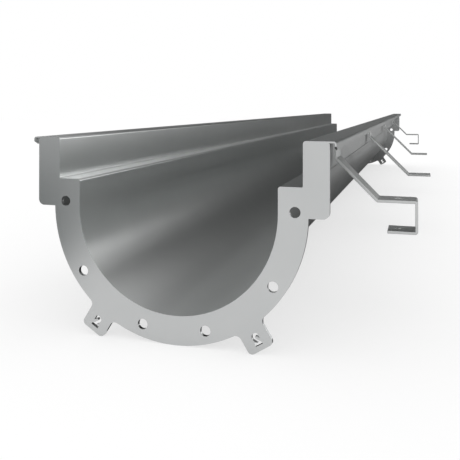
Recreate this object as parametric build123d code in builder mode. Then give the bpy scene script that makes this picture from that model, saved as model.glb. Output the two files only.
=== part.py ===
from build123d import *
import os
from math import asin, cos, degrees, radians, sin, sqrt

# Floor drainage channel of folded stainless sheet, open at the top for a grate.
# X runs across it, Y along it and Z up, with the floor that it stands on at Z = 0.
# It has a built-in fall: standing on its feet the half-round is level, and the seats
# and rims rise towards the rear, where the channel is deeper by the fall.

# Channel section
channel_length = 2000.0
fall = 10.0
bore_radius = 100.0
sheet = 1.5
side_height = 25.0
seat_width = 22.5
rebate_depth = 41.0
lip_overhang = 5.8
lip_depth = 7.5
bend_radius = 1.0
lip_clip_height = 3.0
lip_clip_length = 6.0

# End flanges
flange_thickness = 4.0
ring_width = 26.0
block_shoulder = 18.7
block_drop = 2.4
block_corner = 6.0
top_corner = 1.0
bolt_inset = 12.0
bolt_hole = 10.0
bolt_angles = (-1.3, 34.3, 74.1)

# Feet, one at each side of a flange's ring
foot_length = 21.9
foot_width = 25.8
foot_angle = 55.0
foot_lean = 3.0
foot_corner = 4.5
foot_root = 5.5

# Flat-bar anchors, welded under the rim
bar_width = 35.0
bar_thickness = 3.0
bar_bend = 0.5
anchor_gap = 5.0
anchor_shoulder = 25.6
anchor_hole = 9.0
anchor_hole_back = 20.0
strap_drop = 70.0
strap_leg = 39.0
hook_drop = 45.2
hook_leg = 42.5
hook_height = 36.5
hook_return = 32.5

# Spacing of the anchors, from the front end
end_inset = 176.0
first_strap_step = 506.0
second_strap_step = 528.0

# Heights above the centre of the half-round at the front end, and half widths
seat_height = side_height
rim_height = seat_height + rebate_depth
lip_end = rim_height - lip_depth
wide_bend = bend_radius + sheet
ring_radius = bore_radius + sheet + ring_width
rebate_half_width = bore_radius + seat_width
block_half_width = ring_radius + block_shoulder
lip_half_width = block_half_width + lip_overhang
bolt_radius = ring_radius - bolt_inset
foot_reach = ring_radius + foot_length

# The feet's inner corners are the lowest points, and they set the height of the centre
lean = radians(foot_angle + foot_lean)
corner_run = foot_width / 2 - foot_corner
corner_centre = (
    foot_reach * sin(radians(foot_angle))
    - foot_corner * sin(lean)
    + corner_run * cos(lean)
)
centre_height = max(corner_centre + foot_corner, ring_radius)


def across(y, lift=0.0):
    """A drawing plane across the channel at y, facing -Y, lift above the half-round's centre."""
    return Plane(origin=(0, y, centre_height + lift), x_dir=(1, 0, 0), z_dir=(0, -1, 0))


def rise(y):
    """How much higher the seats and rims are at y than at the front end."""
    return fall * (y / channel_length + 0.5)


def fold_points(shift, lift=0.0):
    """Corners of the right-hand folds: shift 0 is the wet face, shift sheet the dry one."""
    return [
        (bore_radius + shift, 0),
        (bore_radius + shift, seat_height + lift - shift),
        (rebate_half_width + shift, seat_height + lift - shift),
        (rebate_half_width + shift, rim_height + lift - shift),
    ]


# The right half is folded from one sheet and mirrored to the left
with BuildPart() as channel_body:
    # Folds above the half-round, drawn at the rear end and following the fall to the front
    with BuildSketch(across(channel_length / 2, fall)):
        with BuildLine():
            FilletPolyline(
                *fold_points(0),
                (lip_half_width, rim_height),
                (lip_half_width, lip_end),
                radius=[wide_bend, bend_radius, wide_bend, wide_bend],
            )
            FilletPolyline(
                *fold_points(sheet),
                (lip_half_width - sheet, rim_height - sheet),
                (lip_half_width - sheet, lip_end),
                radius=[bend_radius, wide_bend, bend_radius, bend_radius],
            )
            Line((lip_half_width, lip_end), (lip_half_width - sheet, lip_end))
            Line((bore_radius, 0), (bore_radius + sheet, 0))
        make_face()
    extrude(amount=sqrt(channel_length**2 + fall**2), dir=(0, -channel_length, -fall))
    # Half-round, with sides up to where the folds begin at the rear end
    with BuildSketch(across(channel_length / 2)):
        with BuildLine():
            CenterArc((0, 0), bore_radius, -90, 90)
            CenterArc((0, 0), bore_radius + sheet, -90, 90)
            Line((0, -bore_radius), (0, -bore_radius - sheet))
            Polyline(
                (bore_radius, 0),
                (bore_radius, fall),
                (bore_radius + sheet, fall),
                (bore_radius + sheet, 0),
            )
        make_face()
    extrude(amount=channel_length)
    # The lip's lower corners are clipped off at both ends
    with BuildSketch(Plane.YZ.offset(lip_half_width - 2 * sheet)):
        for outward in (-1, 1):
            end = outward * channel_length / 2
            low = centre_height + lip_end + rise(end)
            with BuildLine():
                Polyline(
                    (end, low + lip_clip_height),
                    (end - outward * 2 * lip_clip_length, low - lip_clip_height),
                    (end, low - lip_clip_height),
                    close=True,
                )
            make_face()
    extrude(amount=3 * sheet, mode=Mode.SUBTRACT)
    mirror(about=Plane.YZ)
channel_body.part.label = "channel_body"


def flange(front_y):
    """One end flange whose front face lies at front_y. Its blocks follow the rims' height there."""
    lift = rise(front_y)
    shelf = lift - block_drop
    ring_start = degrees(asin(min(shelf, 0) / ring_radius))
    shelf_x = ring_radius * cos(radians(ring_start))
    block = [(block_half_width, rim_height + lift - sheet), (block_half_width, shelf), (shelf_x, shelf)]
    foot_root_depth = ring_width / 2
    foot_run = foot_length + foot_root_depth
    tip_x = foot_reach * cos(radians(foot_angle))
    tip_z = -foot_reach * sin(radians(foot_angle))
    with BuildPart() as plate:
        with BuildSketch(across(front_y + flange_thickness)) as outline:
            with BuildLine():
                FilletPolyline(
                    *fold_points(sheet, lift),
                    *block,
                    radius=[bend_radius, wide_bend, bend_radius, top_corner, block_corner],
                )
                if shelf > 0:
                    Line((ring_radius, shelf), (ring_radius, 0))
                CenterArc((0, 0), ring_radius, -90, 90 + ring_start)
                CenterArc((0, 0), bore_radius + sheet, -90, 90)
                Line((0, -ring_radius), (0, -bore_radius - sheet))
            make_face()
            # The foot starts inside the ring, and its two root corners are rounded first
            with Locations((tip_x - foot_run / 2 * cos(lean), tip_z + foot_run / 2 * sin(lean))):
                Rectangle(foot_run, foot_width, rotation=-degrees(lean))
            roots = outline.vertices().sort_by_distance((tip_x, tip_z))[2:4]
            fillet(roots, foot_root)
            tips = outline.vertices().sort_by_distance((tip_x, tip_z))[:2]
            fillet(tips, foot_corner)
            # The uppermost holes are in the blocks, and follow them
            for angle in bolt_angles:
                turn = radians(angle)
                block_lift = lift if angle < 0 else 0
                with Locations((bolt_radius * cos(turn), block_lift - bolt_radius * sin(turn))):
                    Circle(bolt_hole / 2, mode=Mode.SUBTRACT)
        extrude(amount=flange_thickness)
        mirror(about=Plane.YZ)
    return plate.part


def anchor(side, middle_y, drop, leg, hooked):
    """One flat-bar anchor: down beside the rebate wall, out at 45 degrees, then a level leg."""
    face_x = rebate_half_width + sheet + anchor_gap + bar_thickness
    top_z = rim_height + rise(middle_y - bar_width / 2) - sheet
    bend_z = top_z - anchor_shoulder
    leg_z = bend_z - drop
    end_x = face_x + drop + leg
    outer_bend = bar_bend + bar_thickness
    points = [(face_x, top_z), (face_x, bend_z), (face_x + drop, leg_z), (end_x, leg_z)]
    radii = [bar_bend, bar_bend]
    hole_depth = bar_thickness
    if hooked:
        points += [(end_x, leg_z - hook_height), (end_x - hook_return, leg_z - hook_height)]
        radii += [outer_bend, outer_bend]
        hole_depth = hook_height
    with BuildPart() as bar:
        with BuildSketch(across(middle_y + bar_width / 2)):
            with BuildLine():
                face = FilletPolyline(*points, radius=radii)
                offset(face, amount=bar_thickness, side=Side.RIGHT)
            make_face()
        extrude(amount=bar_width)
        with Locations((end_x - anchor_hole_back, middle_y, centre_height + leg_z)):
            Hole(anchor_hole / 2, depth=hole_depth)
        if side < 0:
            mirror(about=Plane.YZ, mode=Mode.REPLACE)
    return bar.part


os.makedirs("parts", exist_ok=True)
export_step(channel_body.part, "parts/channel_body.step")

flanges = {"front_flange": -channel_length / 2, "rear_flange": channel_length / 2 - flange_thickness}
for name, front_y in flanges.items():
    piece = flange(front_y)
    piece.label = name
    export_step(piece, f"parts/{name}.step")

hook_y = channel_length / 2 - end_inset
strap_y = first_strap_step - hook_y
rows = {
    "front": (-hook_y, True),
    "mid_front": (strap_y, False),
    "mid_rear": (strap_y + second_strap_step, False),
    "rear": (hook_y, True),
}
for row, (middle_y, hooked) in rows.items():
    for side, side_name in ((1, "right"), (-1, "left")):
        drop, leg = (hook_drop, hook_leg) if hooked else (strap_drop, strap_leg)
        piece = anchor(side, middle_y, drop, leg, hooked)
        kind = "hook_anchor" if hooked else "strap_anchor"
        piece.label = f"{kind}_{row}_{side_name}"
        export_step(piece, f"parts/{piece.label}.step")
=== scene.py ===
"""Looks of a stainless-steel drainage channel section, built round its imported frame.

The channel is one folded sheet with a half-round bottom. A cut plate stands at each end, and
bent flat bars hang from both rims. It has a built-in fall: the half-round is level, and the seats
and rims rise towards the rear. Every length is in metres, in the frame's own axes: X across the
channel, Y along it and Z up from the floor.
"""

import logging
import math
from dataclasses import dataclass
from enum import Enum
from typing import Any

import bmesh
import bpy
import numpy as np
from mathutils import Matrix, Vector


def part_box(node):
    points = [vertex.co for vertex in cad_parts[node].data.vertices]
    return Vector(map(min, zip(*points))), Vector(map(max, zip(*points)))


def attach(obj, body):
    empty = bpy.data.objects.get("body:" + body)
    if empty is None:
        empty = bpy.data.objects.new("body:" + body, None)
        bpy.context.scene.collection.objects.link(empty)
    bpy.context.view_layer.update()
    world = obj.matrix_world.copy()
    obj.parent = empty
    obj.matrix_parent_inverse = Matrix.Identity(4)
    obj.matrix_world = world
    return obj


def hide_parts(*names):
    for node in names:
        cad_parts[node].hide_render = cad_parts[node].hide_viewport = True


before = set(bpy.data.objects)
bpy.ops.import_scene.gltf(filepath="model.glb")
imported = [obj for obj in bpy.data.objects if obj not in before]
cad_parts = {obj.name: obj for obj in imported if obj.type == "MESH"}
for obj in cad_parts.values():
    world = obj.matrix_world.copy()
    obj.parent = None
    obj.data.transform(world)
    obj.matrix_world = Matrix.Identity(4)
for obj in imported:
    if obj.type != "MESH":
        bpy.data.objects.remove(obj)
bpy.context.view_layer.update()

BODY = "root"
MM = 0.001
FALL = 10.0 * MM
RIM_ABOVE_CENTRE = 66.0 * MM
PHOTO_SIZE = 460
LOG = logging.getLogger("drain_channel")

Point = tuple[float, float, float]


def linear(hex_colour: str) -> tuple[float, float, float, float]:
    """Turns an sRGB colour into the linear values that shaders use.

    Args:
        hex_colour: six hex digits with a leading hash.

    Returns:
        Linear red, green and blue with an alpha of 1.
    """
    parts = [int(hex_colour[i:i + 2], 16) / 255 for i in (1, 3, 5)]
    return (*[c / 12.92 if c <= 0.04045 else ((c + 0.055) / 1.055) ** 2.4 for c in parts], 1.0)


def add_node(tree: bpy.types.NodeTree, kind: str, settings: dict[str, Any] | None = None,
             inputs: dict[str | int, Any] | None = None) -> bpy.types.Node:
    """Adds one shader node, sets it up and links it.

    Args:
        tree: the node tree that gets the node.
        kind: the node's type name.
        settings: node properties by name.
        inputs: values by input socket; an output socket given as a value is linked.

    Returns:
        The new node.
    """
    node = tree.nodes.new(kind)
    for name, value in (settings or {}).items():
        setattr(node, name, value)
    for name, value in (inputs or {}).items():
        if isinstance(value, bpy.types.NodeSocket):
            tree.links.new(value, node.inputs[name])
        else:
            node.inputs[name].default_value = value
    return node


def empty_material(name: str) -> bpy.types.Material:
    """Adds a material with an empty node tree.

    Args:
        name: the material's name.

    Returns:
        The new material.
    """
    made = bpy.data.materials.new(name)
    made.use_nodes = True
    made.node_tree.nodes.clear()
    return made


class Grain(Enum):
    """Direction in which a piece's mill lines run, as its scale along X, Y and Z."""

    ALONG_CHANNEL = (1.0, 0.02, 1.0)
    ACROSS_CHANNEL = (0.02, 1.0, 1.0)


@dataclass(frozen=True)
class Stainless:
    """Austenitic stainless steel, rolled to a satin mill finish and pickled after welding.

    The rolling leaves fine straight lines and a soft gloss. Pickling makes the grey a little
    uneven, with a faint cloudiness a few centimetres across. Real rolling lines are some
    hundredths of a millimetre apart. They are drawn 2 mm apart, because finer ones would not
    show in the render.
    """

    name: str
    colour: str
    cloudy_colour: str
    roughness: float
    grain: Grain
    line_spacing: float = 2.0 * MM
    line_depth: float = 0.02 * MM
    line_relief: float = 0.01
    gloss_spread: float = 0.006
    cloud_size: float = 45.0 * MM

    def material(self) -> bpy.types.Material:
        """Builds the shader for the first piece that asks, and gives later ones the same.

        Returns:
            The finished material.
        """
        made = bpy.data.materials.get(self.name)
        if made:
            return made
        made = empty_material(self.name)
        tree = made.node_tree
        place = add_node(tree, "ShaderNodeTexCoord")
        cloud = add_node(tree, "ShaderNodeTexNoise", {"noise_dimensions": "3D"},
                         {"Vector": place.outputs["Object"], "Scale": 1 / self.cloud_size,
                          "Detail": 3.0, "Roughness": 0.55})
        stretched = add_node(tree, "ShaderNodeMapping", {},
                             {"Vector": place.outputs["Object"], "Scale": self.grain.value})
        lines = add_node(tree, "ShaderNodeTexNoise", {"noise_dimensions": "3D"},
                         {"Vector": stretched.outputs["Vector"], "Scale": 1 / self.line_spacing,
                          "Detail": 2.0, "Roughness": 0.6})
        tint = add_node(tree, "ShaderNodeMix", {"data_type": "RGBA"},
                        {"Factor": cloud.outputs["Fac"], 6: linear(self.colour),
                         7: linear(self.cloudy_colour)})
        gloss = add_node(tree, "ShaderNodeMapRange", {},
                         {"Value": lines.outputs["Fac"], "From Min": 0.3, "From Max": 0.7,
                          "To Min": self.roughness - self.gloss_spread,
                          "To Max": self.roughness + self.gloss_spread})
        relief = add_node(tree, "ShaderNodeBump", {},
                          {"Height": lines.outputs["Fac"], "Strength": self.line_relief,
                           "Distance": self.line_depth})
        metal = add_node(tree, "ShaderNodeBsdfPrincipled", {},
                         {"Base Color": tint.outputs[2], "Metallic": 1.0,
                          "Roughness": gloss.outputs["Result"],
                          "Normal": relief.outputs["Normal"]})
        add_node(tree, "ShaderNodeOutputMaterial", {}, {"Surface": metal.outputs["BSDF"]})
        return made


# Cold-rolled sheet: the smoothest of the three
SHEET_FINISH = Stainless(
    name="satin_rolled_stainless_sheet",
    colour="#ced0cf",
    cloudy_colour="#c7c9c9",
    roughness=0.282,
    grain=Grain.ALONG_CHANNEL,
)
# Laser-cut plate: flatter and duller, so that each face is nearly one even grey
PLATE_FINISH = Stainless(
    name="pickled_stainless_plate",
    colour="#c6c7c7",
    cloudy_colour="#bdbfbf",
    roughness=0.32,
    grain=Grain.ACROSS_CHANNEL,
)
# Hot-rolled flat bar: the dullest, a matt silver with soft edges
BAR_FINISH = Stainless(
    name="pickled_stainless_flat_bar",
    colour="#cccdcc",
    cloudy_colour="#c2c4c4",
    roughness=0.37,
    grain=Grain.ACROSS_CHANNEL,
)


def round_centre() -> float:
    """Height of the half-round's centre above the floor."""
    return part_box("channel_body")[1].z - FALL - RIM_ABOVE_CENTRE


def rim_rise(along: float | np.ndarray) -> float | np.ndarray:
    """How much higher the seats and rims are at a place along the channel than at the front."""
    low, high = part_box("channel_body")
    return FALL * (along - low.y) / (high.y - low.y)


def new_object(name: str, mesh: bpy.types.Mesh) -> bpy.types.Object:
    """Puts a mesh in the scene at the frame's origin.

    Args:
        name: the new object's name.
        mesh: its mesh, already in the frame's axes.

    Returns:
        The new object.
    """
    made = bpy.data.objects.new(name, mesh)
    bpy.context.scene.collection.objects.link(made)
    return made


def merged_copy(node: str, join_within: float = 0.001 * MM,
                flat_within: float = math.radians(0.2)) -> bpy.types.Mesh:
    """Copies a CAD node's mesh and joins its corners, so that edges can be rounded.

    Args:
        node: the CAD node's name.
        join_within: corners this close become one.
        flat_within: neighbouring faces that turn less than this become one.

    Returns:
        The new mesh, with the node's own mesh left alone.
    """
    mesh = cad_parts[node].data.copy()
    work = bmesh.new()
    work.from_mesh(mesh)
    bmesh.ops.remove_doubles(work, verts=work.verts, dist=join_within)
    bmesh.ops.dissolve_limit(work, angle_limit=flat_within, verts=work.verts, edges=work.edges)
    work.to_mesh(mesh)
    work.free()
    mesh.materials.clear()
    return mesh


def soften(piece: bpy.types.Object, radius: float, sharp_angle: float = math.radians(35)) -> None:
    """Rounds a cut piece's edges a little and shades its bends smoothly.

    Args:
        piece: the object to treat.
        radius: the rounding, or 0 for none.
        sharp_angle: edges that turn more than this stay edges.
    """
    piece.data.shade_smooth()
    if radius:
        bevel = piece.modifiers.new("edge_break", "BEVEL")
        bevel.width = radius
        bevel.segments = 2
        bevel.limit_method = "ANGLE"
        bevel.angle_limit = sharp_angle
    else:
        piece.data.set_sharp_from_angle(angle=sharp_angle)
    flat = piece.modifiers.new("flat_faces", "WEIGHTED_NORMAL")
    flat.keep_sharp = True
    flat.weight = 100


def rounded_path(corners: list[tuple[float, float]], radii: list[float], steps: int) -> np.ndarray:
    """Points of a line through corners, each inner corner rounded by an arc that touches both runs.

    An arc's centre lies on the line that halves its corner, at a distance of the radius divided
    by the sine of half the corner's angle.

    Args:
        corners: the corners in order, across and up.
        radii: one radius for each corner but the first and the last.
        steps: the number of points on each arc.

    Returns:
        An array of points, one row each.
    """
    fixed = np.array(corners)
    parts = [fixed[:1]]
    for before, corner, after, radius in zip(fixed[:-2], fixed[1:-1], fixed[2:], radii):
        back = (before - corner) / np.linalg.norm(before - corner)
        ahead = (after - corner) / np.linalg.norm(after - corner)
        half = math.acos(float(back @ ahead)) / 2
        middle = back + ahead
        centre = corner + middle / np.linalg.norm(middle) * radius / math.sin(half)
        sweep = np.linspace(half - math.pi / 2, math.pi / 2 - half, steps)[:, None]
        inward = (corner - centre) / np.linalg.norm(corner - centre)
        sideways = np.array([-inward[1], inward[0]])
        turn = np.sign(inward[0] * (ahead - back)[1] - inward[1] * (ahead - back)[0])
        parts.append(centre + radius * (np.cos(sweep) * inward + turn * np.sin(sweep) * sideways))
    parts.append(fixed[-1:])
    return np.concatenate(parts)


def quads(grid: np.ndarray) -> np.ndarray:
    """Four-cornered faces between neighbours in a grid of point numbers."""
    corners = [grid[:-1, :-1], grid[:-1, 1:], grid[1:, 1:], grid[1:, :-1]]
    return np.stack(corners, axis=-1).reshape(-1, 4)


@dataclass
class ChannelSheet:
    """The folded sheet: half-round bottom, grate seats, rebate walls and rims with a lip."""

    bore_radius: float = 100.0 * MM
    sheet: float = 1.5 * MM
    seat_width: float = 22.5 * MM
    rebate_depth: float = 41.0 * MM
    lip_depth: float = 7.5 * MM
    inner_bend: float = 1.0 * MM
    clip_height: float = 3.0 * MM
    clip_length: float = 6.0 * MM
    bend_steps: int = 9
    round_steps: int = 97
    inner_places: int = 41

    def side_path(self, shift: float) -> np.ndarray:
        """Right half of one face of the sheet at the front, from the bottom middle to the lip's edge.

        It is a quarter circle of the bore's radius plus the shift, then straight runs joined
        by bends whose radius differs by one sheet thickness between the two faces.

        Args:
            shift: 0 for the wet face and the sheet's thickness for the dry one.

        Returns:
            Points across and up, measured from the half-round's centre.
        """
        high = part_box("channel_body")[1]
        rim = RIM_ABOVE_CENTRE
        rebate = self.bore_radius + self.seat_width
        tight, wide = self.inner_bend, self.inner_bend + self.sheet
        hollow, outer = (wide, tight) if shift == 0 else (tight, wide)
        radii = [hollow, outer, hollow, hollow]
        corners = [
            (self.bore_radius + shift, 0.0),
            (self.bore_radius + shift, rim - self.rebate_depth - shift),
            (rebate + shift, rim - self.rebate_depth - shift),
            (rebate + shift, rim - shift),
            (high.x - shift, rim - shift),
            (high.x - shift, rim - self.lip_depth),
        ]
        angle = np.linspace(-math.pi / 2, 0.0, self.round_steps)
        bottom = (self.bore_radius + shift) * np.stack([np.cos(angle), np.sin(angle)], axis=1)
        return np.concatenate([bottom, rounded_path(corners, radii, self.bend_steps)[1:]])

    def face_points(self, shift: float, along: np.ndarray) -> np.ndarray:
        """One face of the sheet: the profile carried along the channel.

        A point is (across, along, up), where across and up come from the profile. Points above
        the half-round rise by the fall's share of the way from front to rear. Near each end the
        lip's edge rises in a straight line by the clip's height over the clip's length.

        Args:
            shift: 0 for the wet face and the sheet's thickness for the dry one.
            along: places along the channel.

        Returns:
            Points as an array of profile steps by places by 3.
        """
        low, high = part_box("channel_body")
        right = self.side_path(shift)
        left = right[:0:-1] * np.array([-1.0, 1.0])
        profile = np.concatenate([left, right])
        across = np.repeat(profile[:, :1], along.size, axis=1)
        above = np.repeat(profile[:, 1:], along.size, axis=1)
        up = above + round_centre() + np.where(above > 0.0, rim_rise(along), 0.0)
        to_end = np.minimum(along - low.y, high.y - along)
        rise = self.clip_height * np.clip(1 - to_end / self.clip_length, 0.0, 1.0)
        up[[0, -1]] += rise
        return np.stack([across, np.broadcast_to(along, across.shape), up], axis=2)

    def build(self) -> bpy.types.Object:
        """Makes the folded sheet as one closed surface.

        The cut ends are dressed flush with the plates after welding, so they have their finish.

        Returns:
            The new object, standing for the CAD channel.
        """
        low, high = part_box("channel_body")
        inner = np.linspace(low.y + self.clip_length, high.y - self.clip_length, self.inner_places)
        along = np.concatenate([[low.y], inner, [high.y]])
        wet = self.face_points(0.0, along)
        dry = self.face_points(self.sheet, along)
        steps, places = wet.shape[:2]
        number = np.arange(steps * places).reshape(steps, places)
        other = number + steps * places
        faces = np.concatenate([quads(number)[:, ::-1], quads(other)])
        ends = np.concatenate([
            quads(np.stack([number[:, 0], other[:, 0]], axis=1))[:, ::-1],
            quads(np.stack([number[:, -1], other[:, -1]], axis=1)),
        ])
        edges = np.concatenate([
            quads(np.stack([number[0], other[0]], axis=0)),
            quads(np.stack([number[-1], other[-1]], axis=0))[:, ::-1],
        ])
        points = np.concatenate([wet.reshape(-1, 3), dry.reshape(-1, 3)])
        mesh = bpy.data.meshes.new("folded_channel")
        mesh.from_pydata(points.tolist(), [], np.concatenate([faces, ends, edges]).tolist())
        mesh.materials.append(SHEET_FINISH.material())
        mesh.materials.append(PLATE_FINISH.material())
        dressed = np.repeat([0, 1, 0], [len(faces), len(ends), len(edges)])
        mesh.polygons.foreach_set("material_index", dressed.astype(np.int32))
        work = bmesh.new()
        work.from_mesh(mesh)
        bmesh.ops.recalc_face_normals(work, faces=work.faces)
        work.to_mesh(mesh)
        work.free()
        piece = new_object("folded_channel", mesh)
        soften(piece, 0.0)
        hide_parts("channel_body")
        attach(piece, BODY)
        return piece


@dataclass
class FlangePlate:
    """A laser-cut end plate with a size number cut through both feet.

    The number's place is that of its middle, below and to the side of the half-round's centre.
    The font's digits are a fixed share of its size, and its strokes are swelled a little.
    """

    node: str
    number: str = "2"
    number_height: float = 9.8 * MM
    number_across: float = 80.5 * MM
    number_below: float = 114.0 * MM
    digit_share: float = 0.7
    stroke_swell: float = 0.085
    foot_slope: float = math.radians(58.2)
    edge_break: float = 0.15 * MM

    def cutter(self, side: int) -> bpy.types.Object:
        """The number as a solid that reaches through the plate, upright towards the middle.

        Args:
            side: 1 for the right foot and -1 for the left one.

        Returns:
            A temporary object.
        """
        low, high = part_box(self.node)
        curve = bpy.data.curves.new("size_number", "FONT")
        curve.body = self.number
        curve.align_x = "CENTER"
        curve.align_y = "CENTER"
        curve.size = self.number_height / self.digit_share
        curve.offset = self.stroke_swell * self.number_height
        curve.extrude = high.y - low.y
        made = bpy.data.objects.new("size_number", curve)
        bpy.context.scene.collection.objects.link(made)
        place = Matrix.Translation((-self.number_across, (low.y + high.y) / 2,
                                    round_centre() - self.number_below))
        lean = Matrix.Rotation(math.pi / 2 - self.foot_slope, 4, "Y")
        stand = Matrix.Rotation(math.pi / 2, 4, "X")
        mirror = Matrix.Diagonal((-side, 1.0, 1.0, 1.0))
        bpy.context.view_layer.update()
        mesh = bpy.data.meshes.new_from_object(made)
        bpy.data.objects.remove(made)
        mesh.transform(mirror @ place @ lean @ stand)
        if side > 0:
            mesh.flip_normals()
        return new_object("size_number_cut", mesh)

    def build(self) -> bpy.types.Object:
        """Cuts the numbers through a copy of the CAD plate and softens its edges.

        Returns:
            The new object, standing for the CAD plate.
        """
        piece = new_object(f"{self.node}_plate", merged_copy(self.node))
        cutters = [self.cutter(side) for side in (-1, 1)]
        for cutter in cutters:
            cut = piece.modifiers.new("number", "BOOLEAN")
            cut.operation = "DIFFERENCE"
            cut.solver = "EXACT"
            cut.object = cutter
        bpy.context.view_layer.update()
        graph = bpy.context.evaluated_depsgraph_get()
        mesh = bpy.data.meshes.new_from_object(piece.evaluated_get(graph))
        piece.modifiers.clear()
        piece.data = mesh
        for cutter in cutters:
            bpy.data.objects.remove(cutter)
        soften(piece, self.edge_break)
        mesh.materials.clear()
        mesh.materials.append(PLATE_FINISH.material())
        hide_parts(self.node)
        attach(piece, BODY)
        return piece


@dataclass
class Anchor:
    """A bent flat bar whose long edges are slightly rounded, as rolled bar is."""

    node: str
    edge_break: float = 0.35 * MM

    def build(self) -> bpy.types.Object:
        """Makes the bar from a copy of the CAD one.

        Returns:
            The new object, standing for the CAD bar.
        """
        piece = new_object(f"{self.node}_bar", merged_copy(self.node))
        soften(piece, self.edge_break)
        piece.data.materials.append(BAR_FINISH.material())
        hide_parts(self.node)
        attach(piece, BODY)
        return piece


@dataclass
class PhotoCamera:
    """The photograph's viewpoint, worked out from its vanishing point and the flange's circles.

    The camera looks along the rims' slope and is turned a little to the left. Its picture is
    shifted down, so that the rims' vanishing point lies above the middle of the frame.
    """

    focal_pixels: float = 618.0
    horizon_row: float = 105.95
    turn: float = 0.2968
    right_of_middle: float = 220.5 * MM
    before_flange: float = 540.5 * MM
    above_rim: float = 28.3 * MM
    film_width: float = 36.0
    nearest: float = 10.0 * MM

    def place(self) -> None:
        """Adds the camera to the scene and makes it the active one."""
        low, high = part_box("channel_body")
        data = bpy.data.cameras.new("photo_camera")
        data.sensor_width = self.film_width
        data.lens = self.film_width * self.focal_pixels / PHOTO_SIZE
        data.shift_y = (self.horizon_row - PHOTO_SIZE / 2) / PHOTO_SIZE
        data.clip_start = self.nearest
        camera = bpy.data.objects.new("photo_camera", data)
        front_rim = high.z - FALL
        slope = math.atan(FALL / (high.y - low.y))
        camera.location = (self.right_of_middle, low.y - self.before_flange, front_rim + self.above_rim)
        turned = Matrix.Rotation(self.turn, 3, "Z") @ Matrix.Rotation(math.pi / 2, 3, "X")
        camera.rotation_euler = (Matrix.Rotation(slope, 3, "X") @ turned).to_euler()
        bpy.context.scene.collection.objects.link(camera)
        bpy.context.scene.camera = camera


@dataclass(frozen=True)
class Card:
    """A flat card or softbox that only the metal mirrors, as a photographer sets round metal.

    Two points carry an upright card from its bottom to its top. Four points are the corners of
    a card that lies flat at the height of its bottom. One with a glow shines instead of being
    lit, and a glow of 1 is as bright as the world.
    """

    name: str
    colour: str
    points: tuple[tuple[float, float], ...]
    bottom: float = 0.0
    top: float = 0.0
    glow: float = 0.0

    def corners(self) -> list[Point]:
        """Works out the card's corners.

        Returns:
            The four corners in order.
        """
        if len(self.points) > 2:
            return [(x, y, self.bottom) for x, y in self.points]
        lower = [(x, y, self.bottom) for x, y in self.points]
        upper = [(x, y, self.top) for x, y in reversed(self.points)]
        return lower + upper

    def material(self) -> bpy.types.Material:
        """Makes matt card, or an evenly lit cloth if the card glows.

        Returns:
            The new material.
        """
        made = empty_material(self.name)
        tree = made.node_tree
        if self.glow:
            surface = add_node(tree, "ShaderNodeEmission", {},
                               {"Color": linear(self.colour), "Strength": self.glow})
        else:
            surface = add_node(tree, "ShaderNodeBsdfDiffuse", {}, {"Color": linear(self.colour)})
        add_node(tree, "ShaderNodeOutputMaterial", {}, {"Surface": surface.outputs[0]})
        return made


CARDS = (
    # Dark flags behind, which give the inside and the rims their deep greys
    Card("back_flag", "#2c2e2e", ((-4.8, 7.0), (3.4, 7.0)), top=5.0),
    Card("low_flag", "#141414", ((-4.0, 7.0), (-9.0, 3.0)), top=0.95),
    # Grey cards on the floor, for the outside of the sheet, the far walls and the left plate
    # The card under the channel is painted shade: a grey sheet that only the metal mirrors, standing in
    # for the floor's shade beneath the channel
    Card("under_shade_card", "#646464", ((-0.4, -0.995), (0.4, -0.995), (0.4, 1.4), (-0.4, 1.4)), 0.003),
    Card("rear_card", "#343636", ((-0.4, 1.4), (0.4, 1.4), (2.2, 7.0), (-4.0, 7.0)), 0.004),
    Card("front_card", "#404a49", ((-0.22, -1.1), (-9.0, -1.1), (-9.0, -6.0), (-1.9, -6.0)), 0.003),
    Card("right_card", "#808080", ((0.4, -0.6), (2.0, -0.6), (2.0, 2.0), (0.4, 2.0)), 0.003),
    # Small upright cards, for the rebate wall's outside and the left rim
    Card("low_card", "#a0a0a0", ((0.17, 1.6), (0.9, 1.6)), top=0.18),
    Card("rim_flag", "#202020", ((-2.2, 1.1), (-0.9, 1.1)), 0.15, 0.95),
    # Softboxes, for the light band inside on the left and the lighter bottom on the right
    Card("right_softbox", "#ffffff", ((4.5, 6.6), (9.0, 2.5)), top=3.2, glow=3.3),
    Card("left_softbox", "#ffffff", ((-4.8, 7.0), (-9.0, 3.0)), 0.95, 3.0, 1.1),
)


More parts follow.
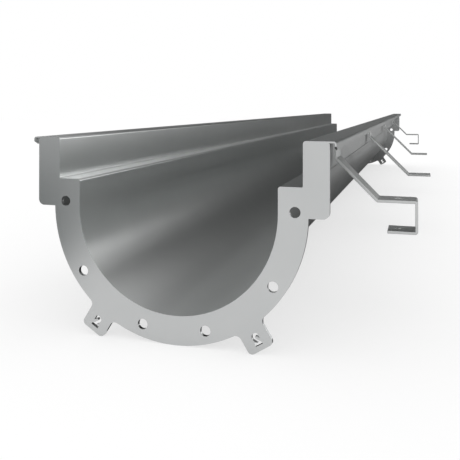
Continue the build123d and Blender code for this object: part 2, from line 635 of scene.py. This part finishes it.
@dataclass
class Studio:
    """A plain pale floor, an even white world, and the cards and softboxes round the object."""

    floor_half_width: float = 8.0
    floor_colour: str = "#a4a4a4"
    floor_lift: float = 0.64
    world_level: float = 1.0

    def world(self) -> None:
        """Lights the scene evenly from all sides, which also shows white behind it."""
        world = bpy.data.worlds.new("white_studio")
        world.use_nodes = True
        tree = world.node_tree
        tree.nodes.clear()
        light = add_node(tree, "ShaderNodeBackground", {},
                         {"Color": linear("#ffffff"), "Strength": self.world_level})
        add_node(tree, "ShaderNodeOutputWorld", {}, {"Surface": light.outputs[0]})
        bpy.context.scene.world = world

    def shown_rays(self, tree: bpy.types.NodeTree) -> bpy.types.NodeSocket:
        """Finds the rays that show the plain background.

        Args:
            tree: the node tree to work in.

        Returns:
            A socket that is 1 for camera, mirrored and transmitted rays, and 0 for the rest.
        """
        path = add_node(tree, "ShaderNodeLightPath")
        mirrored = add_node(tree, "ShaderNodeMath", {"operation": "MAXIMUM"},
                            {0: path.outputs["Is Glossy Ray"], 1: path.outputs["Is Transmission Ray"]})
        either = add_node(tree, "ShaderNodeMath", {"operation": "MAXIMUM"},
                          {0: path.outputs["Is Camera Ray"], 1: mirrored.outputs[0]})
        return either.outputs[0]

    def panel(self, name: str, corners: list[Point], material: bpy.types.Material) -> bpy.types.Object:
        """Adds a flat sheet to the stage.

        Args:
            name: the object's name.
            corners: its four corners in order.
            material: what it is made of.

        Returns:
            The new object.
        """
        mesh = bpy.data.meshes.new(name)
        mesh.from_pydata(corners, [], [tuple(range(len(corners)))])
        mesh.materials.append(material)
        made = new_object(name, mesh)
        return made

    def floor(self) -> None:
        """A matt pale floor that shows as white where no shadow falls."""
        made = empty_material("pale_floor")
        tree = made.node_tree
        matt = add_node(tree, "ShaderNodeBsdfDiffuse", {}, {"Color": linear(self.floor_colour)})
        lift = add_node(tree, "ShaderNodeMath", {"operation": "MULTIPLY"},
                        {0: self.shown_rays(tree), 1: self.floor_lift})
        glow = add_node(tree, "ShaderNodeEmission", {}, {"Strength": lift.outputs[0]})
        both = add_node(tree, "ShaderNodeAddShader", {}, {0: matt.outputs[0], 1: glow.outputs[0]})
        add_node(tree, "ShaderNodeOutputMaterial", {}, {"Surface": both.outputs[0]})
        half = self.floor_half_width
        square = [(-half, -half, 0.0), (half, -half, 0.0), (half, half, 0.0), (-half, half, 0.0)]
        self.panel("floor", square, made)

    def cards(self) -> None:
        """Sets up the cards, so that only mirrored rays meet them."""
        for card in CARDS:
            placed = self.panel(card.name, card.corners(), card.material())
            placed.visible_camera = False
            placed.visible_diffuse = False
            placed.visible_transmission = False
            placed.visible_shadow = False

    def build(self) -> None:
        """Makes the background, the floor and the cards."""
        self.world()
        self.floor()
        self.cards()
        bpy.context.scene.view_settings.view_transform = "Standard"


def main() -> None:
    """Builds the object's looks, then the studio and the camera."""
    logging.basicConfig(level=logging.INFO, format="%(name)s: %(message)s")
    pieces: list[ChannelSheet | FlangePlate | Anchor] = [ChannelSheet()]
    pieces += [FlangePlate(name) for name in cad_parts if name.endswith("flange")]
    pieces += [Anchor(name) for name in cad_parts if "anchor" in name]
    for piece in pieces:
        made = piece.build()
        LOG.info("built %s", made.name)
    Studio().build()
    PhotoCamera().place()


if __name__ == "__main__":
    main()
